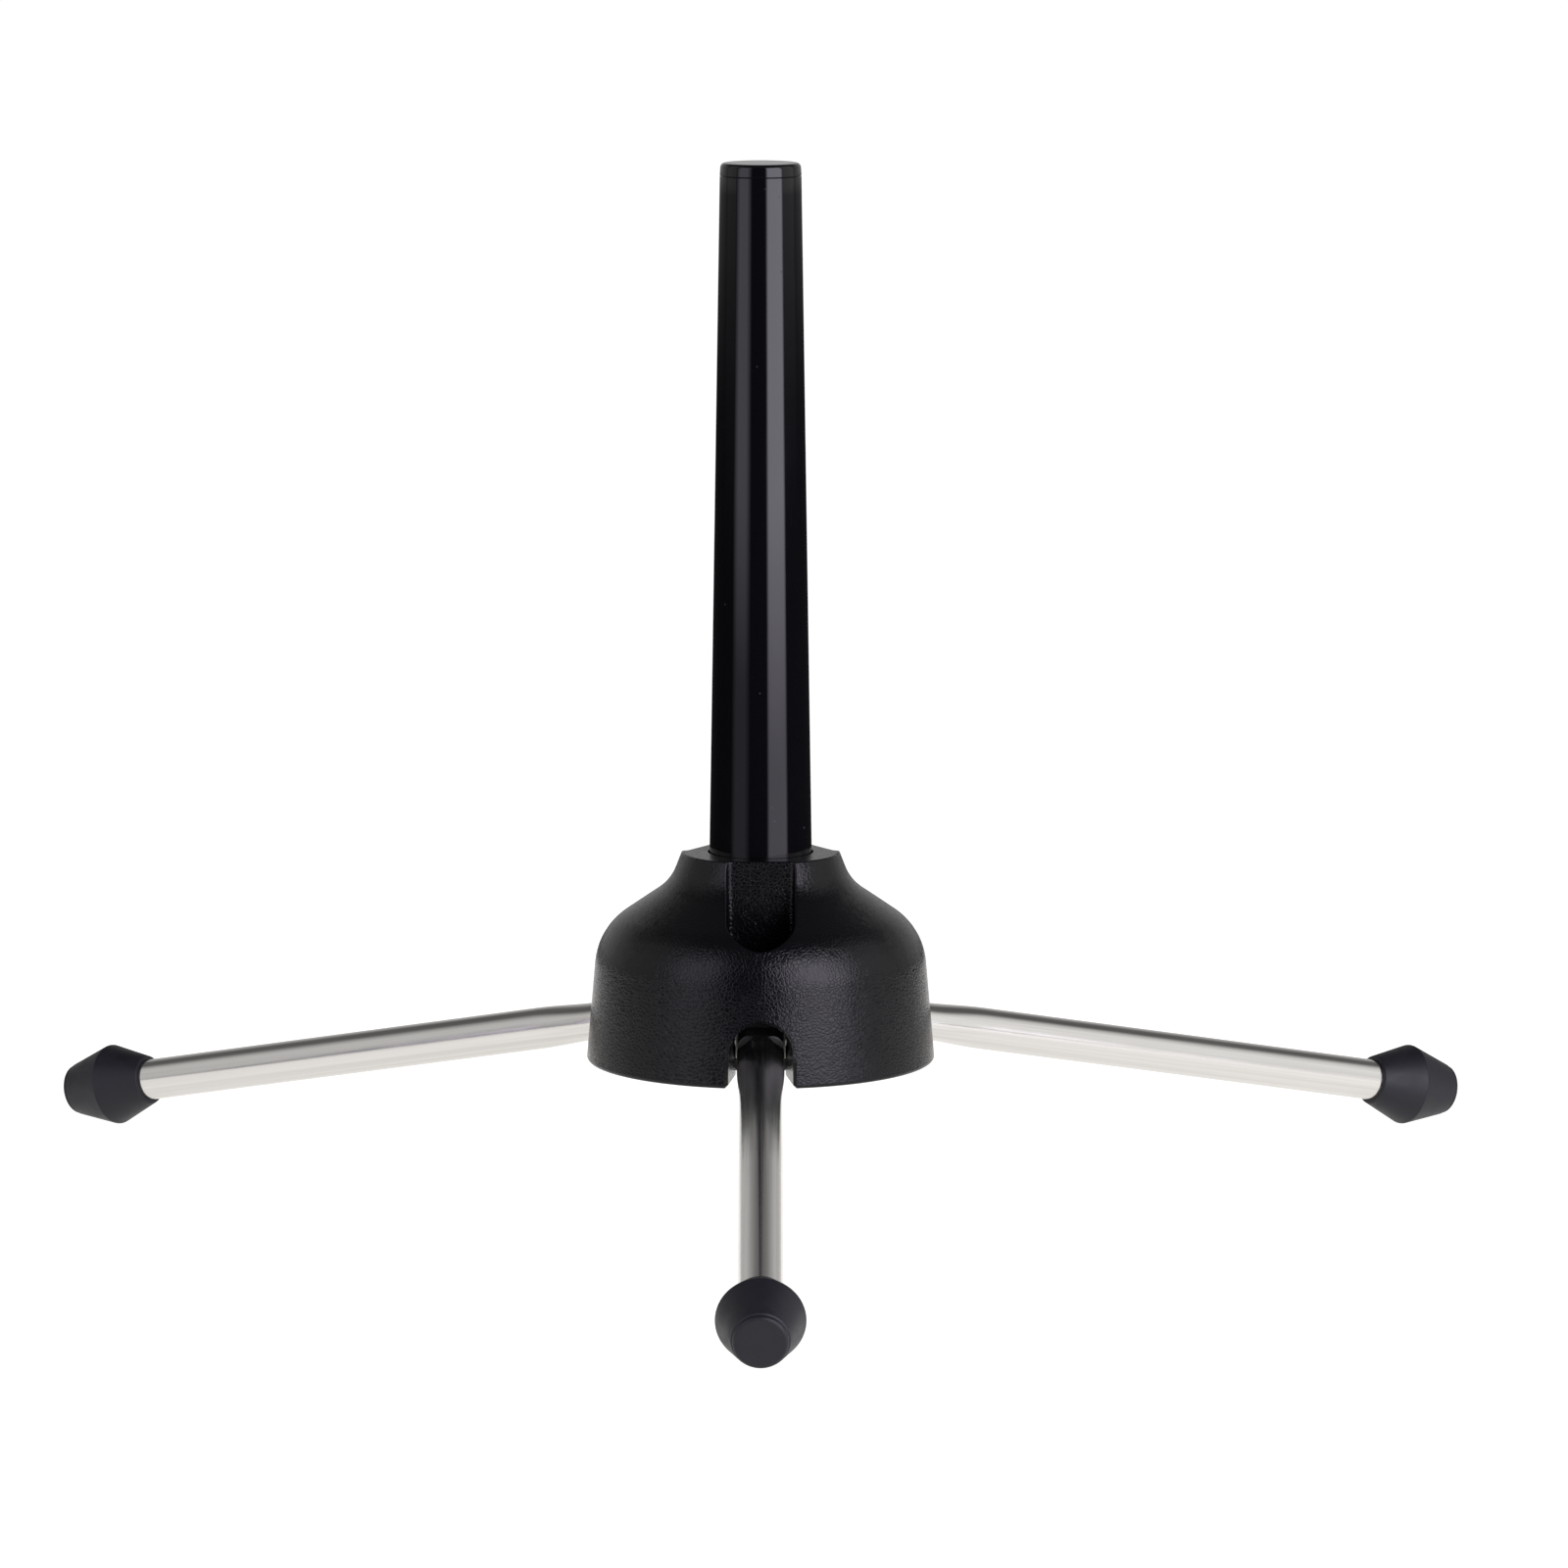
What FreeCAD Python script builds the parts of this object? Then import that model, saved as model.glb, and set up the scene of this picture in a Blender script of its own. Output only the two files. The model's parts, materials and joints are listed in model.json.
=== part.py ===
import FreeCAD, Part
import math
import os

# Trumpet stand: a tapered peg that goes up the bell, a bell-shaped hub that carries the rim, and
# three tube legs on rubber feet, which fold down out of slots in the hub.
# Millimetres, +Z up along the peg. The origin is on the peg's axis, in the plane of the hub's flat
# top. A leg's azimuth is counted from +X, so the front leg points along -Y.

Vector = FreeCAD.Vector
UP = Vector(0, 0, 1)
CENTRE = Vector(0, 0, 0)

# Overall sizes
PEG_HEIGHT = 162.4               # hub's flat top to the peg's tip
PEG_ROOT_RADIUS = 12.07          # peg at the hub's flat top
PEG_TIP_RADIUS = 9.5             # taper, carried on to the height of the tip
HUB_HEIGHT = 49.6
HUB_RADIUS = 41.2                # skirt at its bottom edge
LEG_REACH = 175.7                # pivot to the foot's tip, along the leg
LEG_DROOP = 11.47                # open leg below the horizontal, in degrees
LEG_AZIMUTHS = {"front": -90.0, "right": 30.0, "left": 150.0}

# Peg
PEG_WALL = 2.0
CAP_BAND = 3.0                   # height of the cap above its seam with the tube
CAP_ROUND = 1.1
CAP_INSET = 0.18                 # cap's side leans in by this over its band
CAP_SPIGOT = 9.0
CAP_SPIGOT_ROUND = 0.6
SEAM_BEVEL = 0.15
PLUG_LENGTH = 20.0
PLUG_ROUND = 1.0
GLUE_GAP = 0.05                  # radial gap of a glued or pushed-in joint

# Screw that holds the peg down
SCREW_RADIUS = 2.5
SCREW_HEAD_RADIUS = 4.75
SCREW_HEAD_HEIGHT = 3.2
SCREW_HEAD_ROUND = 1.6
SCREW_ENGAGED = 11.0             # thread inside the plug
SCREW_TAP_SPARE = 3.0            # tapped hole beyond the screw's end
CROSS_LENGTH = 4.6
CROSS_WIDTH = 1.1
CROSS_DEPTH = 1.8
WASHER_RADIUS = 7.5
WASHER_THICKNESS = 1.0
WASHER_ROOM = 2.0                # radial, around the washer in the hub's underside
SCREW_CLEARANCE = 0.25           # radial

# Hub
SOCKET_CLEARANCE = 0.05          # radial, around the peg's tail
MOUTH_RELIEF = 0.38              # extra radius of the socket's mouth
MOUTH_DEPTH = 3.0
WEB_ABOVE_BOTTOM = 11.6          # underside of the socket's floor above the hub's bottom edge
WEB_THICKNESS = 4.0
POST_WALL = 3.88                 # socket's wall behind each pocket
TOP_LAND = 6.1                   # width of the flat ring around the mouth
RIM_ROUND = 0.6
NECK_DEPTH = 7.0
NECK_FLARE = 2.7                 # neck's growth in radius over its depth
NECK_SWEEP = 12.0                # concave arc between neck and shoulder
SHOULDER_DEPTH = 18.8
SHOULDER_SWEEP = 16.0            # convex arc between shoulder and skirt
SKIRT_DRAFT = 2.7                # skirt's growth in radius from shoulder to bottom edge
SKIRT_WALL = 3.0
SKIRT_EDGE_ROUND = 0.9
HOLLOW_ROUND = 13.0
RIB_THICKNESS = 2.0

# Pockets and slots for the legs
POCKET_WIDTH = 16.0
POCKET_CORNER = 1.4
POCKET_INSET = 5.8               # skirt left in front of a pocket's round front
POCKET_WALL = 2.6
POCKET_EDGE = 0.45               # rounding of the pocket's rim
POCKET_LAP = 1.5                 # pocket's floor below the slot's roof, where the two join
SLOT_SIDE_GAP = 0.3              # slot's wall to the tube's wide end
CHEEK = 3.0
NOTCH_SPREAD = 1.9               # arch's half width beyond the slot's
NOTCH_SPRING = 7.2               # arch's centre above the hub's bottom edge
NOTCH_BEYOND_PIVOT = 1.0         # funnel's narrow end outside the pivot
NOTCH_RISE = 3.2                 # funnel's climb from the skirt to its narrow end
NOTCH_EDGE = 0.8                 # bevel around the arch

# Legs
TUBE_RADIUS = 5.0
TUBE_WALL = 1.0
OVAL_WIDER = 1.1                 # tube's pressed end is this much wider than the tube
OVAL_THINNER = 1.2               # and this much lower
OVAL_START = 8.9                 # pivot to the tube's inner end
OVAL_LENGTH = 11.0
OVAL_BLEND = 17.0                # run from oval to round
PIVOT_ABOVE_BOTTOM = 9.1         # pivot above the hub's bottom edge
PIN_RADIUS = 2.0
PIN_SHORTER = 0.15               # pin's end inside the cheek's face
PIN_BEVEL = 0.4
PIN_RUNNING_GAP = 0.05           # radial, in the knuckle's bore
SPACER_THICKNESS = 0.45
SPACER_RADIUS = 4.5
SPACER_GAP = 0.1                 # radial, around the pin
SPACER_PLAY = 0.05               # spacer to slot wall

# Knuckle, moulded in the tube's inner end
BARREL_SETBACK = 0.2             # barrel's radius inside the tube's
ARM_SETBACK = 0.2                # arm's faces inside the tube's oval
ARM_ROUND = 2.6
SPIGOT_LENGTH = 10.0
HEEL_REACH_SHARE = 0.357         # pivot to the wall that the heel rests on, over post to skirt
HEEL_BEVEL_SHARE = 0.2           # heel's bevel over its reach
HEEL_TOP_SHARE = 0.62            # flat on the heel's top over its reach
HEEL_ROOT_SHARE = 0.6            # heel's outline inside the barrel, over the barrel's radius
HEEL_FOOT = 0.6                  # heel's face starts this much above the pivot
HEEL_GAP = 0.05
HEEL_THROAT_ROUND = 1.0
HEEL_EDGE_ROUND = 0.3
HEEL_NOSE_ROUND = 2.0
HEEL_SWEEP_GAP = 0.6             # slot's roof above the heel's circle
FOLDED_GAP = 0.3                 # slot's front wall beyond the heel when folded

# Feet: rubber double cones pushed over the tubes' ends
FOOT_LENGTH = 22.6
RIDGE_FROM_TIP = 12.3
RIDGE_RADIUS = 9.87
RIDGE_ROUND = 0.35
COLLAR_WALL = 0.85
COLLAR_ROUND = 0.3
TIP_RADIUS = 6.0
TIP_ROUND = 0.9
TIP_BAND = 1.5
TIP_STEP = 0.35
TIP_STEP_LENGTH = 0.2
TIP_BAND_ROUND = 0.5
RUBBER_BEYOND_TUBE = 9.7
TUBE_SEAT_GAP = 0.02

# How far a cutting shape, or a search for edges, reaches past the faces it concerns
OVERRUN = 1.0
EDGE_MARGIN = 0.5

# Places that follow from the sizes above
PIVOT_Z = -HUB_HEIGHT + PIVOT_ABOVE_BOTTOM
WEB_BOTTOM_Z = -HUB_HEIGHT + WEB_ABOVE_BOTTOM
SOCKET_FLOOR_Z = WEB_BOTTOM_Z + WEB_THICKNESS
SOCKET_RADIUS = PEG_ROOT_RADIUS + SOCKET_CLEARANCE
POST_RADIUS = SOCKET_RADIUS + POST_WALL
HEEL_REACH = (HUB_RADIUS - POST_RADIUS) * HEEL_REACH_SHARE
HEEL_HEIGHT = HEEL_REACH
HEEL_BEVEL = HEEL_REACH * HEEL_BEVEL_SHARE
PIVOT_RADIUS = POST_RADIUS + HEEL_REACH
NOTCH_DEPTH = HUB_RADIUS - PIVOT_RADIUS - NOTCH_BEYOND_PIVOT
OVAL_HALF_WIDTH = TUBE_RADIUS + OVAL_WIDER / 2
OVAL_HALF_HEIGHT = TUBE_RADIUS - OVAL_THINNER / 2
SLOT_HALF_WIDTH = OVAL_HALF_WIDTH + SLOT_SIDE_GAP
NOTCH_HALF_WIDTH = SLOT_HALF_WIDTH + NOTCH_SPREAD
BARREL_RADIUS = TUBE_RADIUS - BARREL_SETBACK
CHEEK_OUTSIDE = SLOT_HALF_WIDTH + CHEEK
KNUCKLE_HALF_WIDTH = SLOT_HALF_WIDTH - SPACER_PLAY - SPACER_THICKNESS
HEEL_FACE_X = -HEEL_REACH + HEEL_GAP
HEEL_TOP_END = HEEL_FACE_X + HEEL_BEVEL + HEEL_REACH * HEEL_TOP_SHARE
HEEL_SWEEP = math.hypot(HEEL_REACH - HEEL_BEVEL, HEEL_HEIGHT)
SLOT_ROOF_Z = PIVOT_Z + HEEL_SWEEP + HEEL_SWEEP_GAP
POCKET_FLOOR_Z = SLOT_ROOF_Z - POCKET_LAP
POCKET_FRONT = HUB_RADIUS - POCKET_INSET


def unit(vector):
    return vector * (1 / vector.Length)


def corner_arc(before, corner, after, radius):
    """Start, middle and end of the arc that rounds a corner."""
    to_before = unit(before - corner)
    to_after = unit(after - corner)
    half_angle = to_before.getAngle(to_after) / 2
    run = radius / math.tan(half_angle)
    middle = unit(to_before + to_after) * (radius / math.sin(half_angle) - radius)
    return corner + to_before * run, corner + middle, corner + to_after * run


def rounded_face(corners, upright=True):
    """Flat face from (x, height, rounding) corners, in the XZ plane or else in the XY plane."""
    points = [Vector(a, 0, b) if upright else Vector(a, b, 0) for a, b, rounding in corners]
    edges = []
    ends = []
    for index, corner in enumerate(corners):
        point = points[index]
        if corner[2] > 0:
            following = points[(index + 1) % len(points)]
            start, middle, end = corner_arc(points[index - 1], point, following, corner[2])
            edges.append(Part.Arc(start, middle, end).toShape())
            ends.append((start, end))
        else:
            ends.append((point, point))
    for index, (start, end) in enumerate(ends):
        previous_end = ends[index - 1][1]
        if previous_end.distanceToPoint(start) > 1e-6:
            edges.append(Part.LineSegment(previous_end, start).toShape())
    return Part.Face(Part.Wire(Part.__sortEdges__(edges)))


def turned(corners):
    """Solid turned about the Z axis from (radius, height, rounding) corners."""
    return rounded_face(corners).revolve(CENTRE, UP, 360)


def rod(radius, low, high):
    """Upright cylinder on the Z axis between two heights."""
    return Part.makeCylinder(radius, high - low, Vector(0, 0, low))


def cross_rod(radius, half_length):
    """Cylinder along Y, centred on the origin."""
    return Part.makeCylinder(radius, 2 * half_length, Vector(0, -half_length, 0), Vector(0, 1, 0))


def block(x_low, x_high, half_width, low, high):
    return Part.makeBox(x_high - x_low, 2 * half_width, high - low, Vector(x_low, -half_width, low))


def at_azimuth(shape, azimuth):
    """Copy of a shape made along +X, turned to a leg's azimuth."""
    copy = shape.copy()
    copy.rotate(CENTRE, UP, azimuth)
    return copy


def at_pivot(shape, azimuth):
    """Copy of a shape made about a pivot at the origin, moved to the leg's pivot."""
    copy = shape.copy()
    copy.translate(Vector(PIVOT_RADIUS, 0, PIVOT_Z))
    return at_azimuth(copy, azimuth)


def drooped(shape):
    """Shape made along +X from the pivot, tilted down to the open leg's line."""
    shape.rotate(CENTRE, Vector(0, 1, 0), LEG_DROOP)
    return shape


def peg_radius(height):
    return PEG_ROOT_RADIUS + (PEG_TIP_RADIUS - PEG_ROOT_RADIUS) * height / PEG_HEIGHT


# Peg

def make_peg_tube():
    seam_z = PEG_HEIGHT - CAP_BAND
    seam_radius = peg_radius(seam_z)
    bore_root = PEG_ROOT_RADIUS - PEG_WALL
    return turned([
        (bore_root, SOCKET_FLOOR_Z, 0),
        (PEG_ROOT_RADIUS, SOCKET_FLOOR_Z, 0),
        (PEG_ROOT_RADIUS, 0, 0),
        (seam_radius, seam_z - SEAM_BEVEL, 0),
        (seam_radius - SEAM_BEVEL, seam_z, 0),
        (seam_radius - PEG_WALL, seam_z, 0),
        (bore_root, 0, 0),
    ])


def make_peg_cap():
    seam_z = PEG_HEIGHT - CAP_BAND
    seam_radius = peg_radius(seam_z)
    spigot_radius = seam_radius - PEG_WALL - GLUE_GAP
    return turned([
        (0, seam_z - CAP_SPIGOT, 0),
        (spigot_radius, seam_z - CAP_SPIGOT, CAP_SPIGOT_ROUND),
        (spigot_radius, seam_z, 0),
        (seam_radius - SEAM_BEVEL, seam_z, 0),
        (seam_radius, seam_z + SEAM_BEVEL, 0),
        (seam_radius - CAP_INSET, PEG_HEIGHT, CAP_ROUND),
        (0, PEG_HEIGHT, 0),
    ])


def make_peg_plug():
    radius = PEG_ROOT_RADIUS - PEG_WALL - GLUE_GAP
    plug = turned([
        (0, SOCKET_FLOOR_Z, 0),
        (radius, SOCKET_FLOOR_Z, 0),
        (radius, SOCKET_FLOOR_Z + PLUG_LENGTH, PLUG_ROUND),
        (0, SOCKET_FLOOR_Z + PLUG_LENGTH, 0),
    ])
    tapped_to = SOCKET_FLOOR_Z + SCREW_ENGAGED + SCREW_TAP_SPARE
    return plug.cut(rod(SCREW_RADIUS, SOCKET_FLOOR_Z, tapped_to))


def make_peg_washer():
    top = WEB_BOTTOM_Z
    ring = rod(WASHER_RADIUS, top - WASHER_THICKNESS, top)
    return ring.cut(rod(SCREW_RADIUS + SCREW_CLEARANCE, top - WASHER_THICKNESS, top))


def make_peg_screw():
    head_top = WEB_BOTTOM_Z - WASHER_THICKNESS
    head_low = head_top - SCREW_HEAD_HEIGHT
    head = turned([
        (0, head_low, 0),
        (SCREW_HEAD_RADIUS, head_low, SCREW_HEAD_ROUND),
        (SCREW_HEAD_RADIUS, head_top, 0),
        (0, head_top, 0),
    ])
    screw = head.fuse(rod(SCREW_RADIUS, head_top, SOCKET_FLOOR_Z + SCREW_ENGAGED))
    for turn in (0, 90):
        bar = block(-CROSS_LENGTH / 2, CROSS_LENGTH / 2, CROSS_WIDTH / 2, head_low, head_low + CROSS_DEPTH)
        screw = screw.cut(at_azimuth(bar, turn))
    return screw.removeSplitter()


# Hub

def make_hub_body():
    """The hub before its pockets: flat top, neck, shoulder and skirt, turned as one solid."""
    top_radius = SOCKET_RADIUS + MOUTH_RELIEF + TOP_LAND
    return turned([
        (0, 0, 0),
        (top_radius, 0, RIM_ROUND),
        (top_radius + NECK_FLARE, -NECK_DEPTH, NECK_SWEEP),
        (HUB_RADIUS - SKIRT_DRAFT, -SHOULDER_DEPTH, SHOULDER_SWEEP),
        (HUB_RADIUS, -HUB_HEIGHT, SKIRT_EDGE_ROUND),
        (0, -HUB_HEIGHT, 0),
    ])


def make_hollows():
    """Space between the socket's post and the skirt, less the leg bays' walls and the ribs."""
    slope_run = Vector(HUB_RADIUS - SKIRT_DRAFT, 0, -SHOULDER_DEPTH)
    slope_start = Vector(SOCKET_RADIUS + MOUTH_RELIEF + TOP_LAND + NECK_FLARE, 0, -NECK_DEPTH)
    slope = unit(slope_run - slope_start)
    inset = Vector(slope.z, 0, -slope.x) * SKIRT_WALL
    shoulder = slope_run + inset
    apex_z = shoulder.z + (POST_RADIUS - shoulder.x) * slope.z / slope.x
    below = -HUB_HEIGHT - OVERRUN
    hollow = turned([
        (POST_RADIUS, below, 0),
        (HUB_RADIUS - SKIRT_WALL, below, 0),
        (shoulder.x, shoulder.z, HOLLOW_ROUND),
        (POST_RADIUS, apex_z, 0),
    ])
    pocket_wall_low = POCKET_FLOOR_Z - POCKET_WALL
    pocket_bay = block(0, HUB_RADIUS, POCKET_WIDTH / 2 + POCKET_WALL, pocket_wall_low, 0)
    slot_bay = block(0, HUB_RADIUS, CHEEK_OUTSIDE, below, 0)
    rib = block(0, HUB_RADIUS, RIB_THICKNESS / 2, below, 0)
    for azimuth in LEG_AZIMUTHS.values():
        for bay in (pocket_bay, slot_bay):
            hollow = hollow.cut(at_azimuth(bay, azimuth))
        hollow = hollow.cut(at_azimuth(rib, azimuth + 180))
    return hollow


def make_pocket():
    """U-shaped well above the leg, flat against the socket's post and half-round in front."""
    half = POCKET_WIDTH / 2
    plan = rounded_face([
        (POST_RADIUS, -half, POCKET_CORNER),
        (POCKET_FRONT, -half, half),
        (POCKET_FRONT, half, half),
        (POST_RADIUS, half, POCKET_CORNER),
    ], upright=False)
    plan.translate(Vector(0, 0, POCKET_FLOOR_Z))
    return plan.extrude(UP * (OVERRUN - POCKET_FLOOR_Z))


def make_slot():
    """Narrow bay in which the knuckle turns, with room in front for the heel of a folded leg."""
    fold = math.radians(90.0 - LEG_DROOP)
    folded_reach = HEEL_TOP_END * math.cos(fold) + HEEL_HEIGHT * math.sin(fold)
    front = PIVOT_RADIUS + folded_reach + FOLDED_GAP
    return block(POST_RADIUS, front, SLOT_HALF_WIDTH, -HUB_HEIGHT - OVERRUN, SLOT_ROOF_Z)


def arch_wire(reach, half_width, spring_z):
    """Upside-down U in a plane square to X, open well below the hub."""
    foot_z = -HUB_HEIGHT - 2 * OVERRUN
    corners = [Vector(reach, side * half_width, z) for side, z in
               ((-1, foot_z), (-1, spring_z), (1, spring_z), (1, foot_z))]
    crown = Vector(reach, 0, spring_z + half_width)
    return Part.Wire([
        Part.LineSegment(corners[0], corners[1]).toShape(),
        Part.Arc(corners[1], crown, corners[2]).toShape(),
        Part.LineSegment(corners[2], corners[3]).toShape(),
        Part.LineSegment(corners[3], corners[0]).toShape(),
    ])


def make_notch():
    """Funnel through the skirt, from an arch around the open leg down to the slot's width."""
    spring_z = -HUB_HEIGHT + NOTCH_SPRING
    outer_reach = HUB_RADIUS + OVERRUN
    narrowing = NOTCH_SPREAD / NOTCH_DEPTH * OVERRUN
    climb = NOTCH_RISE / NOTCH_DEPTH * OVERRUN
    outer = arch_wire(outer_reach, NOTCH_HALF_WIDTH + narrowing, spring_z - climb)
    inner = arch_wire(HUB_RADIUS - NOTCH_DEPTH, SLOT_HALF_WIDTH, spring_z + NOTCH_RISE)
    return Part.makeLoft([outer, inner], True, True)


def edges_in_box(shape, azimuth, nearest, farthest, half_width, low, high):
    """Edges that lie within a box whose length runs out from the peg's axis at an azimuth."""
    outward = Vector(math.cos(math.radians(azimuth)), math.sin(math.radians(azimuth)), 0)
    sideways = UP.cross(outward)
    found = []
    for edge in shape.Edges:
        middle = (edge.FirstParameter + edge.LastParameter) / 2
        points = [edge.valueAt(where) for where in (edge.FirstParameter, middle, edge.LastParameter)]
        if all(nearest < point.dot(outward) < farthest and abs(point.dot(sideways)) < half_width
               and low < point.z < high for point in points):
            found.append(edge)
    return found


def bevel_arch(hub, azimuth):
    """Bevel the edge of a leg's arch in the skirt."""
    arch = edges_in_box(hub, azimuth, HUB_RADIUS - SKIRT_DRAFT, HUB_RADIUS + EDGE_MARGIN,
                        NOTCH_HALF_WIDTH + EDGE_MARGIN, -HUB_HEIGHT - EDGE_MARGIN, -SHOULDER_DEPTH)
    return hub.makeChamfer(NOTCH_EDGE, arch)


def round_pocket_rim(hub, azimuth):
    """Round the rim of a leg's pocket."""
    rim = edges_in_box(hub, azimuth, POST_RADIUS - EDGE_MARGIN, HUB_RADIUS,
                       POCKET_WIDTH / 2 + EDGE_MARGIN, -SHOULDER_DEPTH - EDGE_MARGIN, EDGE_MARGIN)
    return hub.makeFillet(POCKET_EDGE, rim)


def make_hub():
    hub = make_hub_body()
    hub = hub.cut(rod(SOCKET_RADIUS, SOCKET_FLOOR_Z, OVERRUN))
    hub = hub.cut(rod(SOCKET_RADIUS + MOUTH_RELIEF, -MOUTH_DEPTH, OVERRUN))
    hub = hub.cut(rod(SCREW_RADIUS + SCREW_CLEARANCE, WEB_BOTTOM_Z - OVERRUN, SOCKET_FLOOR_Z + OVERRUN))
    hub = hub.cut(rod(WASHER_RADIUS + WASHER_ROOM, -HUB_HEIGHT - OVERRUN, WEB_BOTTOM_Z))
    hub = hub.cut(make_hollows())
    pin_hole = cross_rod(PIN_RADIUS, CHEEK_OUTSIDE + OVERRUN)
    for azimuth in LEG_AZIMUTHS.values():
        hub = hub.cut(at_azimuth(make_pocket(), azimuth))
        hub = hub.cut(at_azimuth(make_slot(), azimuth))
        hub = hub.cut(at_azimuth(make_notch(), azimuth))
    for azimuth in LEG_AZIMUTHS.values():
        hub = bevel_arch(hub, azimuth)
        hub = round_pocket_rim(hub, azimuth)
        hub = hub.cut(at_pivot(pin_hole, azimuth))
    return hub


# Legs: each piece is made about its pivot at the origin, with the leg along +X

def make_pin():
    half = CHEEK_OUTSIDE - PIN_SHORTER
    pin = turned([
        (0, -half, 0),
        (PIN_RADIUS - PIN_BEVEL, -half, 0),
        (PIN_RADIUS, -half + PIN_BEVEL, 0),
        (PIN_RADIUS, half - PIN_BEVEL, 0),
        (PIN_RADIUS - PIN_BEVEL, half, 0),
        (0, half, 0),
    ])
    pin.rotate(CENTRE, Vector(1, 0, 0), 90)
    return pin


def oval_wire(reach, half_width, half_height):
    """Oval in a plane square to X. A circle is drawn the same way, so that the two can be joined."""
    if half_width >= half_height:
        oval = Part.Ellipse(Vector(reach, half_width, 0), Vector(reach, 0, half_height),
                            Vector(reach, 0, 0))
    else:
        oval = Part.Ellipse(Vector(reach, 0, half_height), Vector(reach, half_width, 0),
                            Vector(reach, 0, 0))
    return Part.Wire([oval.toShape()])


def oval_bar(start, length, half_width, half_height):
    return Part.Face(oval_wire(start, half_width, half_height)).extrude(Vector(length, 0, 0))


def tube_solid(inset):
    """Solid of the tube's outside, or of its bore when inset by the wall."""
    half_width = OVAL_HALF_WIDTH - inset
    half_height = OVAL_HALF_HEIGHT - inset
    radius = TUBE_RADIUS - inset
    blend_start = OVAL_START + OVAL_LENGTH
    blend_end = blend_start + OVAL_BLEND
    end = LEG_REACH - RUBBER_BEYOND_TUBE
    oval = oval_bar(OVAL_START, OVAL_LENGTH, half_width, half_height)
    blend = Part.makeLoft([oval_wire(blend_start, half_width, half_height),
                           oval_wire(blend_end, radius, radius)], True, True)
    straight = Part.makeCylinder(radius, end - blend_end, Vector(blend_end, 0, 0), Vector(1, 0, 0))
    return oval.fuse(blend).fuse(straight)


def make_tube():
    return drooped(tube_solid(0).cut(tube_solid(TUBE_WALL)))


def make_knuckle():
    """Moulded end of the leg: spigot, arm, barrel around the pin, and the heel that stops it."""
    arm_half_width = min(OVAL_HALF_WIDTH - ARM_SETBACK, KNUCKLE_HALF_WIDTH)
    arm_half_height = OVAL_HALF_HEIGHT - ARM_SETBACK
    arm = block(0, OVAL_START, arm_half_width, -arm_half_height, arm_half_height)
    arm = arm.makeFillet(ARM_ROUND, [edge for edge in arm.Edges if edge.BoundBox.XLength > OVERRUN])
    spigot = oval_bar(OVAL_START - OVERRUN, SPIGOT_LENGTH + OVERRUN, OVAL_HALF_WIDTH - TUBE_WALL - GLUE_GAP,
                      OVAL_HALF_HEIGHT - TUBE_WALL - GLUE_GAP)
    straight_part = drooped(arm.fuse(spigot))
    inside = HEEL_ROOT_SHARE * BARREL_RADIUS
    heel_face = rounded_face([
        (HEEL_FACE_X, HEEL_FOOT, HEEL_EDGE_ROUND),
        (-inside, -inside, 0),
        (inside, 0, 0),
        (BARREL_RADIUS, inside, HEEL_THROAT_ROUND),
        (HEEL_TOP_END, HEEL_HEIGHT, HEEL_NOSE_ROUND),
        (HEEL_FACE_X + HEEL_BEVEL, HEEL_HEIGHT, HEEL_EDGE_ROUND),
        (HEEL_FACE_X, HEEL_HEIGHT - HEEL_BEVEL, HEEL_EDGE_ROUND),
    ])
    heel_face.translate(Vector(0, -KNUCKLE_HALF_WIDTH, 0))
    heel = heel_face.extrude(Vector(0, 2 * KNUCKLE_HALF_WIDTH, 0))
    barrel = cross_rod(BARREL_RADIUS, KNUCKLE_HALF_WIDTH)
    knuckle = barrel.fuse(heel).fuse(straight_part).removeSplitter()
    return knuckle.cut(cross_rod(PIN_RADIUS + PIN_RUNNING_GAP, KNUCKLE_HALF_WIDTH + OVERRUN))


def make_spacers():
    """Pair of spacer washers, one on each side of the knuckle."""
    pair = []
    for side in (-1, 1):
        inner = side * KNUCKLE_HALF_WIDTH
        direction = Vector(0, side, 0)
        start = Vector(0, inner, 0)
        ring = Part.makeCylinder(SPACER_RADIUS, SPACER_THICKNESS, start, direction)
        hole = Part.makeCylinder(PIN_RADIUS + SPACER_GAP, SPACER_THICKNESS, start, direction)
        pair.append(ring.cut(hole))
    return Part.makeCompound(pair)


def make_foot():
    start = LEG_REACH - FOOT_LENGTH
    ridge = LEG_REACH - RIDGE_FROM_TIP
    band = LEG_REACH - TIP_BAND
    foot = turned([
        (0, start, 0),
        (TUBE_RADIUS + COLLAR_WALL, start, COLLAR_ROUND),
        (RIDGE_RADIUS, ridge, RIDGE_ROUND),
        (TIP_RADIUS + TIP_STEP, band, TIP_BAND_ROUND),
        (TIP_RADIUS, band + TIP_STEP_LENGTH, 0),
        (TIP_RADIUS, LEG_REACH, TIP_ROUND),
        (0, LEG_REACH, 0),
    ])
    seat = rod(TUBE_RADIUS + TUBE_SEAT_GAP, start - OVERRUN, LEG_REACH - RUBBER_BEYOND_TUBE)
    foot = foot.cut(seat)
    foot.rotate(CENTRE, Vector(0, 1, 0), 90)
    return drooped(foot)


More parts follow.
